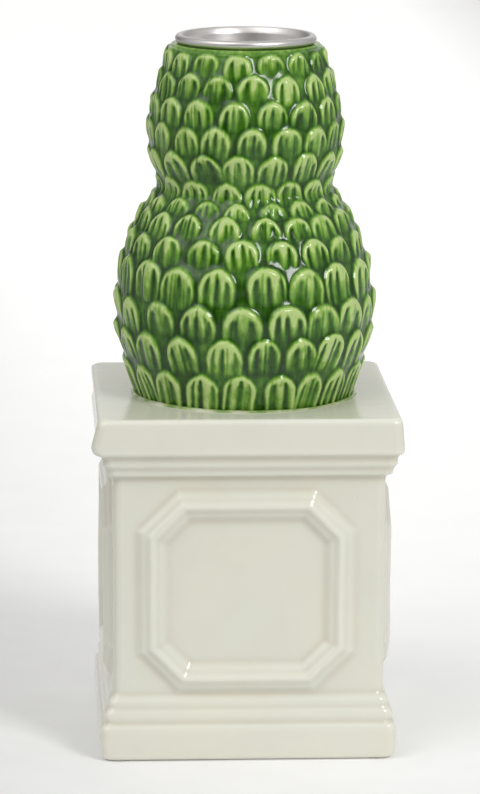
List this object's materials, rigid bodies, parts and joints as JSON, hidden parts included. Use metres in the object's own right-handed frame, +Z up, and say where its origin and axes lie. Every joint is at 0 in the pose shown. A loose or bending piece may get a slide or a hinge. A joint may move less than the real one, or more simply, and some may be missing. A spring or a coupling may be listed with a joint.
{
  "type": "pillar candle holder",
  "caption": "Glazed ceramic candle holder: a two-tier clipped-bush casting on a square panelled plinth, with a lift-out metal candle cup in its top.",
  "frame": {"origin": "on the surface it stands on, under the middle of the square plinth", "axes": "+Z up along the candle's axis, X and Y square to the plinth's faces, -Y the face seen from the front"},
  "size_m": [0.0984, 0.0984, 0.2293],
  "materials": {
    "cream_glaze": "clear glossy glaze over cream earthenware",
    "green_glaze": "translucent green glaze, pale on ribs and dark in hollows",
    "seam_glaze": "green glaze thinning to cream over a slip seam",
    "spun_steel": "spun and polished stainless sheet",
    "felt": "pressed felt"
  },
  "bodies": {
    "holder": {"plinth": "cream_glaze", "topiary": "green_glaze", "slip_seam": "seam_glaze", "foot_pad_1": "felt", "foot_pad_2": "felt", "foot_pad_3": "felt", "foot_pad_4": "felt"},
    "cup": {"candle_cup": "spun_steel"}
  },
  "joints": [
    {"name": "cup_lift", "type": "slide", "parent": "holder", "child": "cup", "axis": [0, 0, 1], "range_m": [0, 0.05]}
  ]
}
